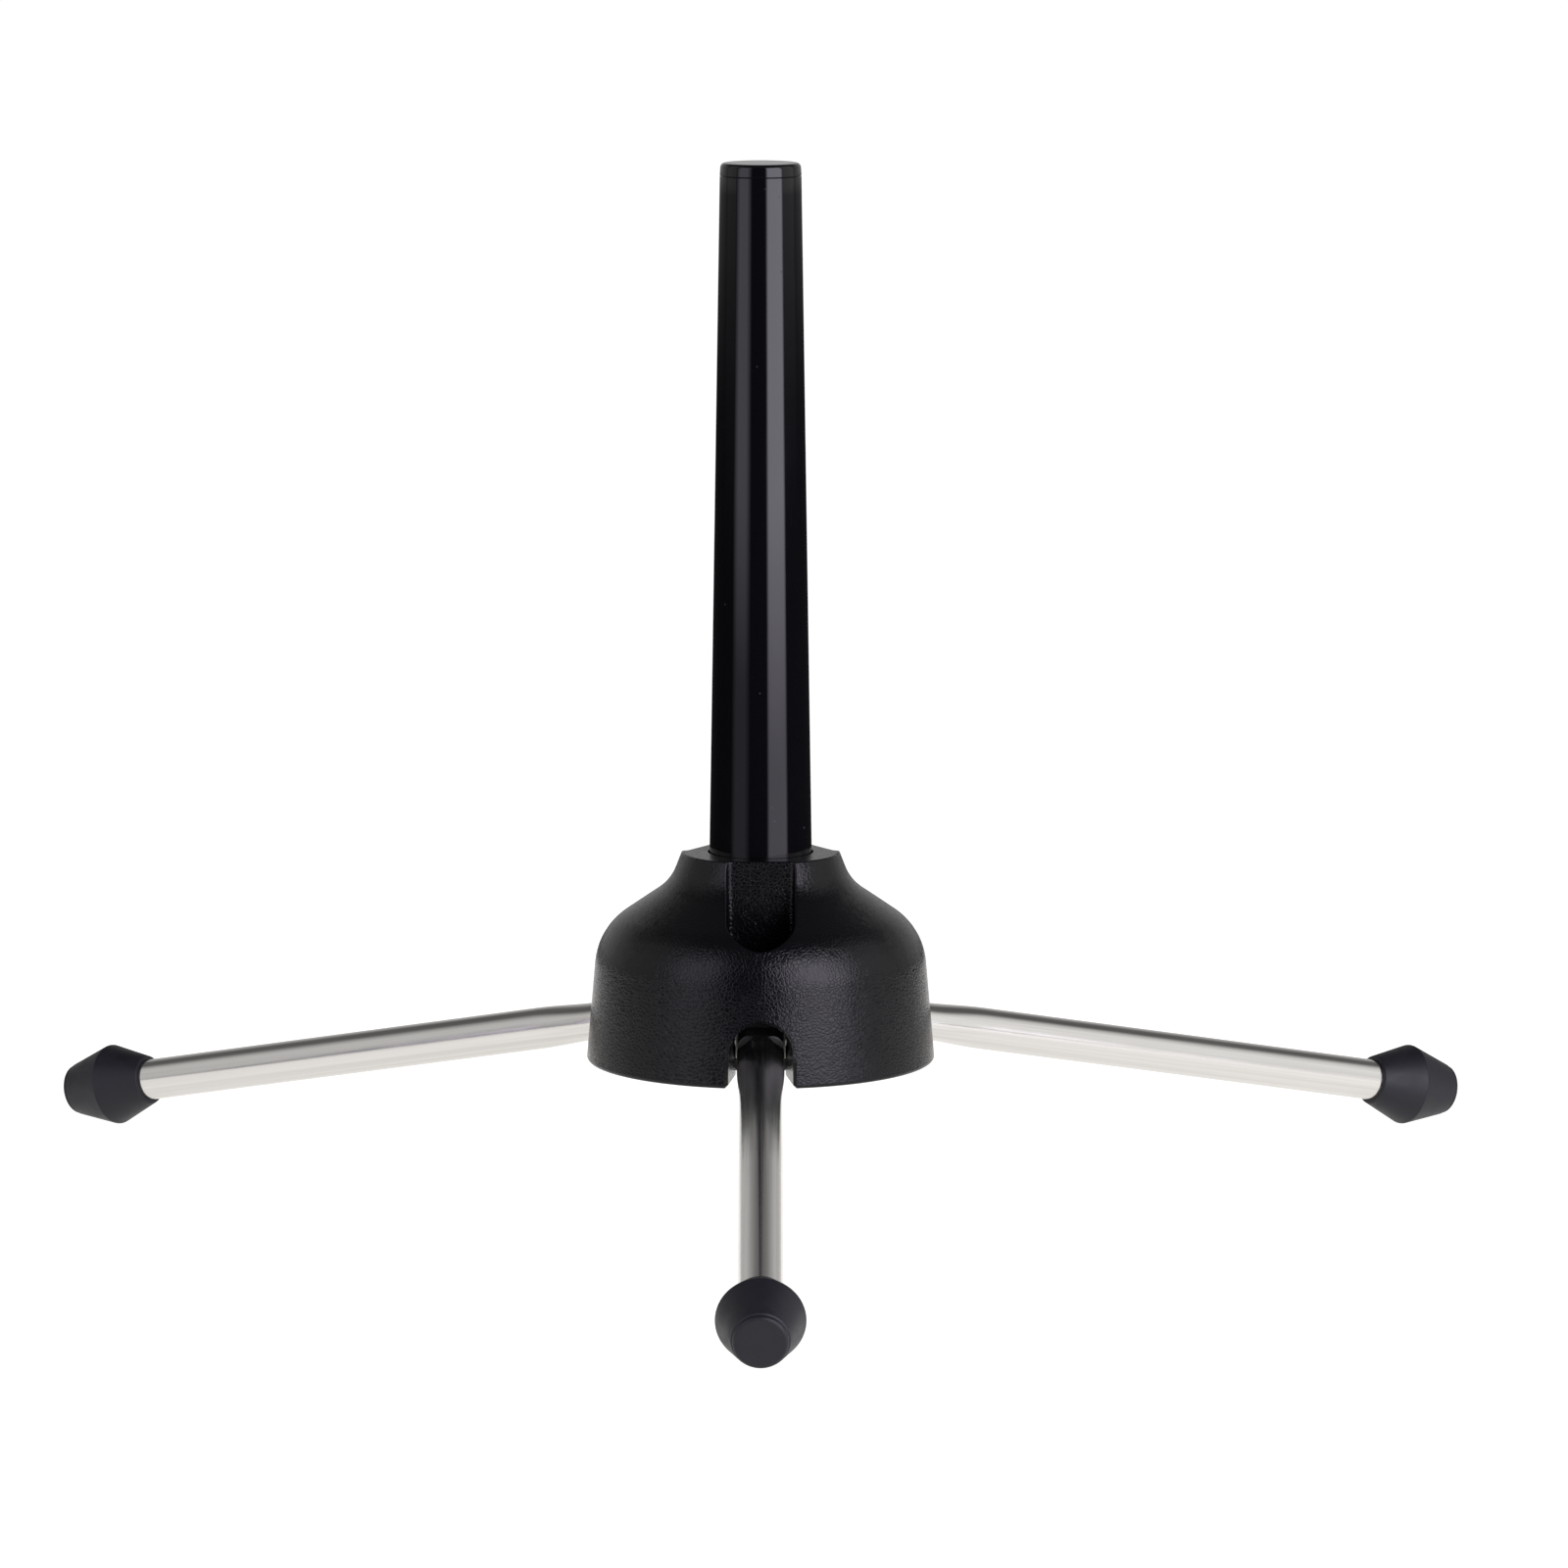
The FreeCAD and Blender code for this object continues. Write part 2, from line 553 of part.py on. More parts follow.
def main():
    os.makedirs("parts", exist_ok=True)
    nodes = {
        "hub": make_hub(),
        "peg_tube": make_peg_tube(),
        "peg_cap": make_peg_cap(),
        "peg_plug": make_peg_plug(),
        "peg_washer": make_peg_washer(),
        "peg_screw": make_peg_screw(),
    }
    leg_pieces = {
        "leg_pin": make_pin(),
        "leg_tube": make_tube(),
        "leg_knuckle": make_knuckle(),
        "leg_spacers": make_spacers(),
        "leg_foot": make_foot(),
    }
    for side, azimuth in LEG_AZIMUTHS.items():
        for name, shape in leg_pieces.items():
            nodes[f"{name}_{side}"] = at_pivot(shape, azimuth)
    for name, shape in nodes.items():
        shape.exportStep(f"parts/{name}.step")
        print(name, len(shape.Solids), "solids", round(shape.Volume), "mm3", shape.isValid())


main()
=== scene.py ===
"""Trumpet stand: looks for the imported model, laid out as an add-on and run as a script."""

import json
import math

import bmesh
import bpy
from mathutils import Euler, Matrix, Vector

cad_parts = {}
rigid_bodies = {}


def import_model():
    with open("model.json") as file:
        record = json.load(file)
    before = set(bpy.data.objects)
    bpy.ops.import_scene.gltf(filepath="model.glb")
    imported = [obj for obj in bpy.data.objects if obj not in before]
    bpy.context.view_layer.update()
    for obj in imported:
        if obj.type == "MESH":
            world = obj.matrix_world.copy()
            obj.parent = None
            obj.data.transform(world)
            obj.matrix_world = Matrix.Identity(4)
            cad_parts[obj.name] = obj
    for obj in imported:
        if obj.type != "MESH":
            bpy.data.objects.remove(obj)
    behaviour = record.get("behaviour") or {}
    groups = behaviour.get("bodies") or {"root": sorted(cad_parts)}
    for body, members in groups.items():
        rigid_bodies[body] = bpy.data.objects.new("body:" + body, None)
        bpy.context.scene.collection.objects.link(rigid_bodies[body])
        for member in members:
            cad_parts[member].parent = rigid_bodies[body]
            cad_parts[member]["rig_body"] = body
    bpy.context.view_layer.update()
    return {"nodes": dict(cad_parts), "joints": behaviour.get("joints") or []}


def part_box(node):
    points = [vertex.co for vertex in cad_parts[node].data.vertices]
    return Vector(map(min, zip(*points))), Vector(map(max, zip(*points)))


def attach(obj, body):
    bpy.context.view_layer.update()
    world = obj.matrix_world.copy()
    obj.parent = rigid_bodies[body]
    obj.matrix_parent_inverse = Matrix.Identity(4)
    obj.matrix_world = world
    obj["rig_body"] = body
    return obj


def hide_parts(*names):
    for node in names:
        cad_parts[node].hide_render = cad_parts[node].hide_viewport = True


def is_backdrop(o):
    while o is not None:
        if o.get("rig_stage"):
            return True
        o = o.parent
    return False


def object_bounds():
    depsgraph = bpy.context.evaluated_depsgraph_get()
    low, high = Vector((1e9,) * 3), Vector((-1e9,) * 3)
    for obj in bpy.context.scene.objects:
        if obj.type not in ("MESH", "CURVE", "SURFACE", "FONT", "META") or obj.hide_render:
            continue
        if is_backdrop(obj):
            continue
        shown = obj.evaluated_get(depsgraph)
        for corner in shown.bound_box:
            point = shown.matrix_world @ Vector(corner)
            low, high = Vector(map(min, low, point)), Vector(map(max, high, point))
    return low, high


bl_info = {
    "name": "Trumpet Stand",
    "version": (1, 0, 0),
    "blender": (4, 5, 0),
    "location": "View3D > Sidebar > Stand",
    "description": "Makes the visible pieces of a folding trumpet stand around its packed frame",
    "category": "Object",
}

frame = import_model()
SIDES = ("front", "right", "left")
JOINTS = {joint["child"]: joint for joint in frame["joints"]}
MM = 0.001
WELD = 2e-6                        # vertices of the frame nearer than this are one
PEG_STEP = 4 * MM                  # longest run between two rings of a turned piece
CAP_STEP = 2 * MM
TUBE_STEP = 3 * MM
FOOT_STEP = 1.2 * MM
TIP_SEARCH = 0.9 * MM              # reach along the leg within which a radius is measured
TUBE_SEARCH = 30 * MM
FOOT_CREASE = 60.0                 # a foot's edges sharper than this stay creased, in degrees
SENSOR_WIDTH = 36.0                # camera's sensor, in millimetres


# Places measured on the frame

class LegPlace:
    """Where one leg lies: its pivot, the way it points, and the matrix from the leg's own axes.

    In the leg's own axes X runs out along the tube, Y lies along the pivot pin and Z is upwards.
    """

    def __init__(self, side):
        self.body = "leg_" + side
        joint = JOINTS[self.body]
        pivot = Vector(joint["pos_m"])
        across = Vector(joint["axis"]).normalized()
        centre = surface_centre(frame["nodes"]["leg_foot_" + side].data)
        along = (centre - pivot).normalized()
        across = (across - along * across.dot(along)).normalized()
        upwards = along.cross(across)
        axes = Matrix((along, across, upwards)).transposed().to_4x4()
        self.matrix = Matrix.Translation(pivot) @ axes
        self.inverse = self.matrix.inverted()

    def local_points(self, node):
        return [self.inverse @ vertex.co for vertex in frame["nodes"][node].data.vertices]


def surface_centre(mesh):
    """Area-weighted centre of a mesh's surface, which lies on the axis of a turned piece."""
    total = Vector()
    area = 0.0
    for face in mesh.polygons:
        total += face.center * face.area
        area += face.area
    return total / area


def radius_near(points, distance, reach):
    """Greatest distance from the leg's line among points within reach of a distance along it."""
    near = [p for p in points if abs(p.x - distance) < reach]
    return max(math.hypot(p.y, p.z) for p in near)


LEGS = {side: LegPlace(side) for side in SIDES}


# Settings

class StandSizes(bpy.types.PropertyGroup):
    """Sizes of the drawn pieces that the frame doesn't give."""
    peg_facets: bpy.props.IntProperty(
        name="Peg facets", description="Faces around the peg", default=256, min=32)
    tube_facets: bpy.props.IntProperty(
        name="Tube facets", description="Faces around a leg's tube", default=128, min=24)
    foot_facets: bpy.props.IntProperty(
        name="Foot facets", description="Faces around a foot", default=160, min=24)
    peg_wall: bpy.props.FloatProperty(
        name="Peg wall", description="Wall of the peg's tube", default=2.0 * MM, unit="LENGTH")
    cap_round: bpy.props.FloatProperty(
        name="Cap rounding", description="Rounding of the cap's rim",
        default=1.1 * MM, unit="LENGTH")
    cap_inset: bpy.props.FloatProperty(
        name="Cap inset", description="How far the cap's side leans in over its height",
        default=0.18 * MM, unit="LENGTH")
    spigot_round: bpy.props.FloatProperty(
        name="Spigot rounding", description="Rounding of the cap's end inside the peg",
        default=0.6 * MM, unit="LENGTH")
    peg_foot_round: bpy.props.FloatProperty(
        name="Peg foot rounding", description="Rounding of the peg's lower edge",
        default=0.4 * MM, unit="LENGTH")
    seam_bevel: bpy.props.FloatProperty(
        name="Seam bevel", description="Bevel on each side of the peg's seam",
        default=0.15 * MM, unit="LENGTH")
    tube_wall: bpy.props.FloatProperty(
        name="Tube wall", description="Wall of a leg's tube", default=1.0 * MM, unit="LENGTH")
    oval_length: bpy.props.FloatProperty(
        name="Oval length", description="Pressed stretch of the tube's inner end",
        default=11.0 * MM, unit="LENGTH")
    oval_blend: bpy.props.FloatProperty(
        name="Oval blend", description="Run over which the tube turns from oval to round",
        default=17.0 * MM, unit="LENGTH")
    lip_round: bpy.props.FloatProperty(
        name="Lip rounding", description="Rounding of the tube's cut edge",
        default=0.3 * MM, unit="LENGTH")
    tip_band: bpy.props.FloatProperty(
        name="Tip band", description="Straight band behind the foot's flat tip",
        default=1.5 * MM, unit="LENGTH")
    tip_step: bpy.props.FloatProperty(
        name="Tip step", description="Step between the tip's band and the cone",
        default=0.35 * MM, unit="LENGTH")
    tip_step_length: bpy.props.FloatProperty(
        name="Tip step length", description="Run of the step along the foot",
        default=0.2 * MM, unit="LENGTH")
    tip_round: bpy.props.FloatProperty(
        name="Tip rounding", description="Rounding of the foot's flat tip",
        default=0.9 * MM, unit="LENGTH")
    step_round: bpy.props.FloatProperty(
        name="Step rounding", description="Rounding at the inside of the tip's step",
        default=0.1 * MM, unit="LENGTH")
    ridge_round: bpy.props.FloatProperty(
        name="Ridge rounding", description="Rounding of the foot's ridge and of its tip's band",
        default=0.5 * MM, unit="LENGTH")
    ridge_crown: bpy.props.FloatProperty(
        name="Ridge crown", description="Height that the ridge's rounding would take off",
        default=0.03 * MM, unit="LENGTH")
    seat_round: bpy.props.FloatProperty(
        name="Seat rounding", description="Rounding at the bottom of the foot's bore",
        default=0.2 * MM, unit="LENGTH")
    mouth_round: bpy.props.FloatProperty(
        name="Mouth rounding", description="Rounding at the mouth of the foot's bore",
        default=0.15 * MM, unit="LENGTH")
    collar_round: bpy.props.FloatProperty(
        name="Collar rounding", description="Rounding of the foot's collar",
        default=0.35 * MM, unit="LENGTH")


class StandColours(bpy.types.PropertyGroup):
    """Colours of the finishes."""
    hub_black: bpy.props.FloatVectorProperty(
        name="Hub", description="Grained black of the hub", subtype="COLOR", size=4, min=0, max=1,
        default=(0.0014, 0.0013, 0.0020, 1))
    peg_black: bpy.props.FloatVectorProperty(
        name="Peg", description="Gloss black of the peg", subtype="COLOR", size=4, min=0, max=1,
        default=(0.0022, 0.0022, 0.0030, 1))
    knuckle_black: bpy.props.FloatVectorProperty(
        name="Knuckle", description="Smooth black of the moulded ends", subtype="COLOR", size=4,
        min=0, max=1, default=(0.011, 0.011, 0.012, 1))
    steel: bpy.props.FloatVectorProperty(
        name="Steel", description="Polished stainless of the legs", subtype="COLOR", size=4,
        min=0, max=1, default=(0.66, 0.645, 0.62, 1))
    zinc: bpy.props.FloatVectorProperty(
        name="Zinc", description="Plating of the pins and the screw", subtype="COLOR", size=4,
        min=0, max=1, default=(0.58, 0.59, 0.6, 1))
    rubber: bpy.props.FloatVectorProperty(
        name="Rubber", description="Rubber of the feet", subtype="COLOR", size=4, min=0, max=1,
        default=(0.0055, 0.0055, 0.0085, 1))
    # Pale nylon darkened here as painted shade, standing in for the shade on the spacers in the
    # hub's slot.
    nylon: bpy.props.FloatVectorProperty(
        name="Nylon", description="Spacers beside the knuckles", subtype="COLOR", size=4,
        min=0, max=1, default=(0.3, 0.29, 0.26, 1))


class StageSettings(bpy.types.PropertyGroup):
    """Floor, lights and camera."""
    floor_radius: bpy.props.FloatProperty(
        name="Floor radius", description="Radius of the pale table", default=0.5, unit="LENGTH")
    floor_glow: bpy.props.FloatProperty(
        name="Floor glow", description="How brightly the table lights the stand", default=0.95)
    floor_white: bpy.props.FloatProperty(
        name="Floor white", description="How brightly the table shows to the camera", default=1.05)
    camera_distance: bpy.props.FloatProperty(
        name="Camera distance", description="Camera to the peg's axis, level", default=1.8488,
        unit="LENGTH")
    camera_height: bpy.props.FloatProperty(
        name="Camera height", description="Camera above the floor", default=0.3694, unit="LENGTH")
    camera_tilt: bpy.props.FloatProperty(
        name="Camera tilt", description="Camera's tilt below the horizon",
        default=math.radians(8.33), subtype="ANGLE")
    camera_roll: bpy.props.FloatProperty(
        name="Camera roll", description="Camera's roll about its own view line",
        default=0.0, subtype="ANGLE")
    camera_lens: bpy.props.FloatProperty(
        name="Lens", description="Focal length on a 36 mm wide sensor, in millimetres",
        default=182.0)
    camera_shift: bpy.props.FloatProperty(
        name="Shift", description="Sideways shift of the frame", default=0.0149)


# Building materials

class Finish:
    """A material's nodes, with short names for the ones used here."""

    def __init__(self, name, colour, roughness, metallic=0.0, ior=1.5):
        self.material = bpy.data.materials.new(name)
        self.material.use_nodes = True
        self.tree = self.material.node_tree
        self.tree.nodes.clear()
        self.shader = self.node("ShaderNodeBsdfPrincipled")
        output = self.node("ShaderNodeOutputMaterial")
        self.tree.links.new(self.shader.outputs["BSDF"], output.inputs["Surface"])
        self.shader.inputs["Base Color"].default_value = colour
        self.shader.inputs["Roughness"].default_value = roughness
        self.shader.inputs["Metallic"].default_value = metallic
        self.shader.inputs["IOR"].default_value = ior
        self.material.diffuse_color = colour
        self.place = self.node("ShaderNodeTexCoord").outputs["Object"]

    def node(self, kind, inputs=None, **settings):
        made = self.tree.nodes.new(kind)
        for name, value in settings.items():
            setattr(made, name, value)
        for name, value in (inputs or {}).items():
            self.feed(made.inputs[name], value)
        return made

    def feed(self, socket, value):
        if isinstance(value, bpy.types.NodeSocket):
            self.tree.links.new(value, socket)
        else:
            socket.default_value = value

    def mapped(self, scale=(1, 1, 1), turn=(0, 0, 0)):
        """Object coordinates, turned and scaled."""
        mapping = self.node("ShaderNodeMapping", {
            "Vector": self.place, "Rotation": turn, "Scale": scale})
        return mapping.outputs["Vector"]

    def noise(self, scale, detail=2.0, roughness=0.5, distortion=0.0, where=None):
        made = self.node("ShaderNodeTexNoise", {
            "Vector": where or self.place, "Scale": scale, "Detail": detail,
            "Roughness": roughness, "Distortion": distortion})
        return made.outputs["Fac"]

    def cells(self, scale, where=None, feature="F1"):
        made = self.node("ShaderNodeTexVoronoi", {"Vector": where or self.place, "Scale": scale},
                         feature=feature)
        return made.outputs["Distance"]

    def between(self, value, low, high, to_low=0.0, to_high=1.0):
        """Value stretched from one range to another, and held inside it."""
        made = self.node("ShaderNodeMapRange", {
            "Value": value, "From Min": low, "From Max": high, "To Min": to_low, "To Max": to_high})
        return made.outputs["Result"]

    def sum(self, first, second, operation="ADD"):
        made = self.node("ShaderNodeMath", operation=operation)
        self.feed(made.inputs[0], first)
        self.feed(made.inputs[1], second)
        return made.outputs["Value"]

    def mixed(self, factor, first, second):
        """Colour between two, by a factor."""
        made = self.node("ShaderNodeMix", data_type="RGBA")
        for index, value in ((0, factor), (6, first), (7, second)):
            self.feed(made.inputs[index], value)
        return made.outputs[2]

    def worn_edge(self, low, high):
        """1 on convex edges, 0 elsewhere."""
        geometry = self.node("ShaderNodeNewGeometry")
        return self.between(geometry.outputs["Pointiness"], low, high)

    def bump(self, height, distance, strength=1.0, before=None):
        made = self.node("ShaderNodeBump", {
            "Height": height, "Distance": distance, "Strength": strength})
        if before is not None:
            self.feed(made.inputs["Normal"], before)
        return made.outputs["Normal"]

    def set(self, socket, value):
        self.feed(self.shader.inputs[socket], value)


def lighter(colour, times):
    return tuple(min(1.0, channel * times) for channel in colour[:3]) + (1.0,)


def grained_plastic(name, colour):
    """Satin black moulding with a fine leather-like grain and slightly polished edges."""
    finish = Finish(name, colour, 0.20, ior=1.31)
    warp = finish.node("ShaderNodeTexNoise", {
        "Vector": finish.place, "Scale": 420.0, "Detail": 2.0})
    bent = finish.node("ShaderNodeVectorMath", {}, operation="MULTIPLY_ADD")
    finish.feed(bent.inputs[0], warp.outputs["Color"])
    bent.inputs[1].default_value = (0.0011, 0.0011, 0.0011)
    finish.feed(bent.inputs[2], finish.place)
    where = bent.outputs["Vector"]
    creases = finish.cells(1150.0, where, "DISTANCE_TO_EDGE")
    pebbles = finish.between(creases, 0.0, 0.22)
    fine = finish.noise(5200.0, 3.0, 0.6)
    broad = finish.noise(60.0, 3.0, 0.55)
    height = finish.sum(pebbles, finish.sum(fine, 0.12, "MULTIPLY"), "ADD")
    finish.set("Normal", finish.bump(height, 0.00005, 0.6))
    finish.set("Roughness", finish.sum(finish.between(broad, 0.3, 0.7, 0.15, 0.20),
                                       finish.between(pebbles, 0.0, 1.0, 0.08, 0.0), "ADD"))
    worn = finish.worn_edge(0.52, 0.60)
    patchy = finish.mixed(finish.between(broad, 0.35, 0.7), colour, lighter(colour, 1.35))
    finish.set("Base Color", finish.mixed(finish.sum(worn, 0.35, "MULTIPLY"), patchy,
                                          lighter(colour, 3.2)))
    return finish.material


def gloss_plastic(name, colour):
    """Deep gloss black, with the faint lengthwise rubs and specks that a bell leaves."""
    finish = Finish(name, colour, 0.07, ior=1.38)
    rubs = finish.noise(1.0, 4.0, 0.65, where=finish.mapped(scale=(2600, 2600, 16)))
    smudge = finish.noise(24.0, 3.0, 0.6, 0.6)
    specks = finish.cells(310.0)
    speck = finish.between(specks, 0.05, 0.09, 1.0, 0.0)
    chosen = finish.between(finish.noise(90.0, 0.0), 0.60, 0.63)
    dust = finish.sum(speck, chosen, "MULTIPLY")
    rough = finish.sum(finish.between(smudge, 0.42, 0.72, 0.045, 0.11),
                       finish.between(rubs, 0.62, 0.78, 0.0, 0.12), "ADD")
    finish.set("Roughness", finish.sum(rough, finish.sum(dust, 0.35, "MULTIPLY"), "ADD"))
    finish.set("Base Color", finish.mixed(finish.sum(dust, 0.6, "MULTIPLY"), colour,
                                          lighter(colour, 12.0)))
    waves = finish.noise(70.0, 2.0)
    normal = finish.bump(waves, 0.0004, 0.035)
    finish.set("Normal", finish.bump(rubs, 0.00002, 0.10, normal))
    return finish.material


def smooth_plastic(name, colour):
    """Plain black moulding with a light satin sheen and faint flow marks."""
    finish = Finish(name, colour, 0.38)
    flow = finish.noise(140.0, 4.0, 0.6, 1.2)
    fine = finish.noise(3800.0, 2.0)
    finish.set("Roughness", finish.between(flow, 0.3, 0.75, 0.3, 0.48))
    finish.set("Normal", finish.bump(fine, 0.00003, 0.35))
    finish.set("Base Color", finish.mixed(finish.worn_edge(0.52, 0.62), colour,
                                          lighter(colour, 2.5)))
    return finish.material


def polished_steel(name, colour, place):
    """Polished stainless tube: fine hairlines along the tube, and faint hazy patches."""
    finish = Finish(name, colour, 0.16, metallic=1.0)
    turn = place.inverse.to_euler()
    along = finish.mapped(turn=tuple(turn))
    stretched = finish.node("ShaderNodeMapping", {"Vector": along, "Scale": (14, 2400, 2400)})
    hairs = finish.noise(1.0, 5.0, 0.7, where=stretched.outputs["Vector"])
    longer = finish.node("ShaderNodeMapping", {"Vector": along, "Scale": (5, 900, 900)})
    bands = finish.noise(1.0, 3.0, 0.6, where=longer.outputs["Vector"])
    haze = finish.noise(38.0, 3.0, 0.55)
    rough = finish.sum(finish.between(hairs, 0.3, 0.75, 0.10, 0.24),
                       finish.between(haze, 0.35, 0.7, 0.0, 0.05), "ADD")
    finish.set("Roughness", rough)
    finish.set("Base Color", finish.mixed(finish.between(bands, 0.35, 0.65), lighter(colour, 0.94),
                                          lighter(colour, 1.05)))
    normal = finish.bump(bands, 0.00002, 0.12)
    finish.set("Normal", finish.bump(hairs, 0.00001, 0.22, normal))
    return finish.material


def plated_steel(name, colour):
    """Zinc-plated steel: slightly cloudy, with fine turning marks."""
    finish = Finish(name, colour, 0.3, metallic=1.0)
    cloud = finish.noise(420.0, 4.0, 0.6, 0.8)
    fine = finish.noise(5200.0, 2.0)
    finish.set("Roughness", finish.between(cloud, 0.3, 0.7, 0.24, 0.42))
    finish.set("Base Color", finish.mixed(finish.between(cloud, 0.3, 0.75), lighter(colour, 0.86),
                                          lighter(colour, 1.06)))
    finish.set("Normal", finish.bump(fine, 0.00002, 0.3))
    return finish.material


def foot_rubber(name, colour):
    """Matte black rubber with a fine open skin and a little paler rubbing on its ridge."""
    finish = Finish(name, colour, 0.6, ior=1.38)
    skin = finish.noise(3600.0, 4.0, 0.65)
    pores = finish.between(finish.cells(2100.0), 0.08, 0.3)
    patch = finish.noise(240.0, 3.0, 0.6, 0.5)
    height = finish.sum(skin, finish.sum(pores, 0.5, "MULTIPLY"), "ADD")
    finish.set("Normal", finish.bump(height, 0.00005, 0.45))
    finish.set("Roughness", finish.between(patch, 0.3, 0.75, 0.46, 0.6))
    dusty = finish.mixed(finish.between(patch, 0.35, 0.75), colour, lighter(colour, 1.5))
    rubbed = finish.sum(finish.worn_edge(0.51, 0.56), finish.between(skin, 0.35, 0.65), "MULTIPLY")
    finish.set("Base Color", finish.mixed(finish.sum(rubbed, 0.5, "MULTIPLY"), dusty,
                                          lighter(colour, 3.4)))
    return finish.material


def nylon(name, colour):
    """Nylon darkened as painted shade for the hub's slot: cloudy, waxy and a little see-through."""
    finish = Finish(name, colour, 0.45)
    cloud = finish.noise(900.0, 3.0)
    finish.set("Base Color", finish.mixed(cloud, lighter(colour, 0.9), colour))
    finish.set("Roughness", finish.between(cloud, 0.3, 0.7, 0.38, 0.55))
    finish.set("Normal", finish.bump(cloud, 0.00003, 0.3))
    finish.set("Subsurface Weight", 0.15)
    finish.set("Subsurface Radius", (0.001, 0.001, 0.0008))
    return finish.material


# Building shapes

def keep(mesh, name, material, body, slot, *nodes):
    """New piece at the origin, with its finish, its body and the nodes that it stands for."""
    piece = bpy.data.objects.new(name, mesh)
    bpy.context.scene.collection.objects.link(piece)
    mesh.materials.clear()
    mesh.materials.append(material)
    if nodes:
        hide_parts(*nodes)
    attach(piece, body)
    return piece


def soft_shaded(mesh, sharp_degrees):
    """Smooth shading with creases kept where faces meet at more than an angle."""
    work = bmesh.new()
    work.from_mesh(mesh)
    limit = math.radians(sharp_degrees)
    for edge in work.edges:
        edge.smooth = len(edge.link_faces) == 2 and edge.calc_face_angle(0.0) < limit
    for face in work.faces:
        face.smooth = True
    work.to_mesh(mesh)
    work.free()
    return mesh


def smooth_copy(node, name, material, slot, sharp_degrees=32.0):
    """Copy of a CAD node with its triangles joined up and its curves shaded smoothly."""
    source = frame["nodes"][node]
    mesh = source.data.copy()
    work = bmesh.new()
    work.from_mesh(mesh)
    bmesh.ops.remove_doubles(work, verts=work.verts, dist=WELD)
    work.to_mesh(mesh)
    work.free()
    return keep(soft_shaded(mesh, sharp_degrees), name, material, source["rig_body"], slot, node)


def rounded_profile(corners, steps=6):
    """Points of an outline from (distance, radius, rounding) corners, its arcs split into steps."""
    points = []
    count = len(corners)
    for index, (x, y, rounding) in enumerate(corners):
        corner = Vector((x, y, 0))
        if rounding <= 0:
            points.append(corner)
            continue
        before = Vector((*corners[index - 1][:2], 0)) - corner
        after = Vector((*corners[(index + 1) % count][:2], 0)) - corner
        before.normalize()
        after.normalize()
        half = before.angle(after) / 2
        run = rounding / math.tan(half)
        centre = corner + (before + after).normalized() * (rounding / math.sin(half))
        first = (corner + before * run - centre).normalized()
        last = (corner + after * run - centre).normalized()
        for step in range(steps + 1):
            points.append(centre + first.slerp(last, step / steps) * rounding)
    return points


def divided(points, longest):
    """Outline with its long runs split, so that no step is longer than a given length."""
    result = []
    for start, end in zip(points, points[1:]):
        pieces = max(1, math.ceil((end - start).length / longest))
        result.extend(start.lerp(end, step / pieces) for step in range(pieces))
    result.append(points[-1])
    return result


def profile_object(points):
    """Outline as a mesh of points in order, for the turning tree to read."""
    mesh = bpy.data.meshes.new("outline")
    mesh.from_pydata([tuple(point) for point in points], [], [])
    return bpy.data.objects.new("outline", mesh)


# Geometry Nodes

class Tree:
    """A Geometry Nodes tree with named inputs, and short names for the nodes used here."""

    def __init__(self, name, inputs):
        self.tree = bpy.data.node_groups.new(name, "GeometryNodeTree")
        for label, kind, value in inputs:
            socket = self.tree.interface.new_socket(label, in_out="INPUT", socket_type=kind)
            if value is not None:
                socket.default_value = value
        self.tree.interface.new_socket("Geometry", in_out="OUTPUT",
                                       socket_type="NodeSocketGeometry")
        self.given = self.tree.nodes.new("NodeGroupInput").outputs
        self.end = self.tree.nodes.new("NodeGroupOutput")

    def node(self, kind, inputs=None, **settings):
        made = self.tree.nodes.new(kind)
        for name, value in settings.items():
            setattr(made, name, value)
        for name, value in (inputs or {}).items():
            self.feed(made.inputs[name], value)
        return made

    def feed(self, socket, value):
        if isinstance(value, bpy.types.NodeSocket):
            self.tree.links.new(value, socket)
        else:
            socket.default_value = value

    def maths(self, operation, first, second=0.0, third=None):
        made = self.node("ShaderNodeMath", operation=operation)
        self.feed(made.inputs[0], first)
        self.feed(made.inputs[1], second)
        if third is not None:
            self.feed(made.inputs[2], third)
        return made.outputs["Value"]

    def vector(self, x, y, z):
        made = self.node("ShaderNodeCombineXYZ")
        for index, value in enumerate((x, y, z)):
            self.feed(made.inputs[index], value)
        return made.outputs["Vector"]

    def finish(self, geometry):
        """End of the tree: real geometry, given its material."""
        real = self.node("GeometryNodeRealizeInstances", {"Geometry": geometry})
        painted = self.node("GeometryNodeSetMaterial", {
            "Geometry": real.outputs["Geometry"], "Material": self.given["Material"]})
        self.tree.links.new(painted.outputs["Geometry"], self.end.inputs["Geometry"])
        return self.tree


